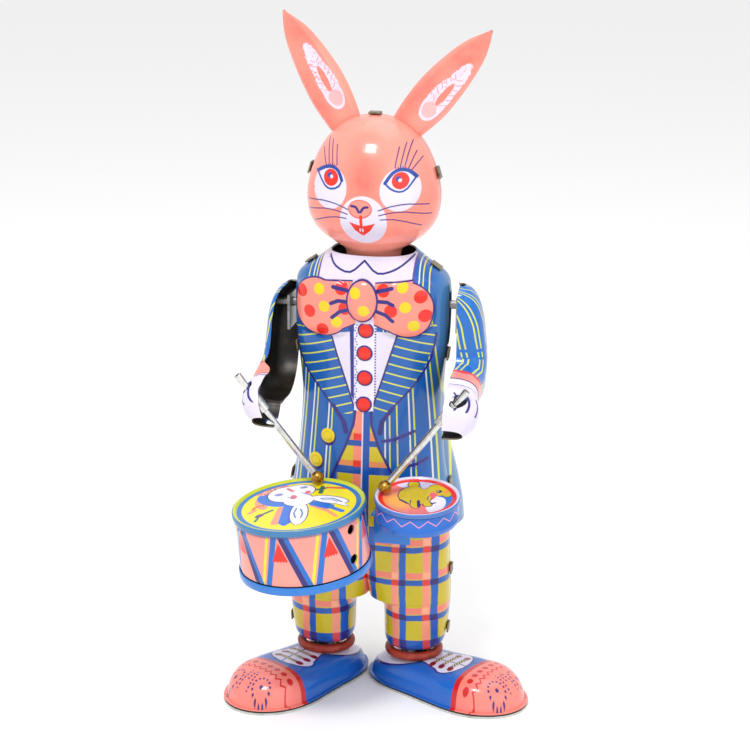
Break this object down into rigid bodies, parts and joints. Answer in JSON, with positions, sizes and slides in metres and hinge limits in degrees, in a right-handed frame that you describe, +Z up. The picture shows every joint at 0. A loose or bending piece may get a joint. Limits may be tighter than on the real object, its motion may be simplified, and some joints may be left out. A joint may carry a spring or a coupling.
{
  "type": "wind-up drumming rabbit",
  "caption": "Standing tin clockwork rabbit in a striped tail coat whose hinged arms beat a large and a small drum as the key in its back runs down.",
  "frame": {"origin": "middle of the bounding box in plan, on the floor under the shoe soles", "axes": "+Z up, the figure faces -Y, +X is the viewer's right when looking at its face"},
  "size_m": [0.0918, 0.0796, 0.2054],
  "materials": {
    "skin_pink": "gloss printed enamel on tin",
    "ear_pink": "gloss printed enamel on tin",
    "coat_blue": "gloss printed enamel on tin",
    "plaid_yellow": "gloss printed enamel on tin",
    "shoe_blue": "gloss printed enamel on tin",
    "sole_tin": "bare tinplate",
    "ankle_red_brown": "satin",
    "sleeve_blue": "gloss printed enamel on tin",
    "stick_steel": "bright plated",
    "ball_brass": "dull brass",
    "drum_pink": "gloss printed enamel on tin",
    "drum_yellow": "gloss printed enamel on tin",
    "drum_blue": "gloss printed enamel on tin",
    "clock_brass": "stamped brass",
    "clock_steel": "stamped steel",
    "spring_steel": "blued steel"
  },
  "bodies": {
    "stand": {"coat_front": "coat_blue", "coat_back": "coat_blue", "trousers_front": "plaid_yellow", "trousers_back": "plaid_yellow", "shoe_left": "shoe_blue", "shoe_right": "shoe_blue", "sole_left": "sole_tin", "sole_right": "sole_tin", "ankle_ring_left": "ankle_red_brown", "ankle_ring_right": "ankle_red_brown", "ankle_post_left": "clock_steel", "ankle_post_right": "clock_steel", "big_drum_wall": "drum_pink", "big_drum_skin": "drum_yellow", "big_drum_base": "drum_blue", "big_drum_strap": "clock_steel", "small_drum_cup": "drum_blue", "small_drum_skin": "drum_yellow", "small_drum_strap": "drum_blue", "motor_plate_front": "clock_steel", "motor_plate_back": "clock_steel", "motor_pillar_1": "clock_steel", "motor_pillar_2": "clock_steel", "motor_pillar_3": "clock_steel", "motor_pillar_4": "clock_steel", "mainspring": "spring_steel", "arm_spring_left": "spring_steel", "arm_spring_right": "spring_steel"},
    "head": {"head_front": "skin_pink", "head_back": "skin_pink", "ear_left": "ear_pink", "ear_right": "ear_pink", "neck_spindle": "clock_steel"},
    "arm_left": {"arm_left": "sleeve_blue", "arm_shaft_left": "clock_steel", "arm_crank_left": "clock_steel", "arm_plate_left": "clock_steel", "stick_clip_left": "stick_steel", "stick_rod_left": "stick_steel", "stick_ball_left": "ball_brass"},
    "arm_right": {"arm_right": "sleeve_blue", "arm_shaft_right": "clock_steel", "arm_crank_right": "clock_steel", "arm_plate_right": "clock_steel", "stick_clip_right": "stick_steel", "stick_rod_right": "stick_steel", "stick_ball_right": "ball_brass"},
    "drive": {"great_wheel": "clock_brass", "winding_key": "clock_steel"},
    "second": {"second_wheel": "clock_brass"},
    "cam": {"cam_wheel": "clock_brass"},
    "escape": {"escape_wheel": "clock_brass"},
    "pallet": {"pallet": "clock_steel"}
  },
  "joints": [
    {"name": "head_turn", "type": "hinge", "parent": "stand", "child": "head", "pos_m": [-0.0052, 0.01537, 0.124], "axis": [0, 0, 1], "range_deg": [-12, 12]},
    {"name": "arm_left_beat", "type": "hinge", "parent": "stand", "child": "arm_left", "pos_m": [-0.0294, 0.01537, 0.1192], "axis": [-1, 0, 0], "range_deg": [0, 28], "stiffness_Nm_per_rad": 0.002},
    {"name": "arm_right_beat", "type": "hinge", "parent": "stand", "child": "arm_right", "pos_m": [0.02, 0.01537, 0.121], "axis": [-1, 0, 0], "range_deg": [0, 28], "stiffness_Nm_per_rad": 0.002},
    {"name": "key_turn", "type": "hinge", "parent": "stand", "child": "drive", "pos_m": [-0.0052, 0.01537, 0.086], "axis": [0, 1, 0], "continuous": true},
    {"name": "second_turn", "type": "hinge", "parent": "stand", "child": "second", "pos_m": [-0.0122, 0.01537, 0.1005], "axis": [0, 1, 0], "continuous": true},
    {"name": "cam_turn", "type": "hinge", "parent": "stand", "child": "cam", "pos_m": [0.0003, 0.01537, 0.1068], "axis": [0, 1, 0], "continuous": true},
    {"name": "escape_turn", "type": "hinge", "parent": "stand", "child": "escape", "pos_m": [0.0047, 0.01537, 0.0965], "axis": [0, 1, 0], "continuous": true},
    {"name": "pallet_rock", "type": "hinge", "parent": "stand", "child": "pallet", "pos_m": [0.0078, 0.01537, 0.0919], "axis": [0, 1, 0], "range_deg": [-6, 6]}
  ],
  "couplings": [
    {"joint": "second_turn", "follows": "key_turn", "ratio": -3.6},
    {"joint": "cam_turn", "follows": "key_turn", "ratio": 10.8},
    {"joint": "escape_turn", "follows": "key_turn", "ratio": -32.4}
  ]
}
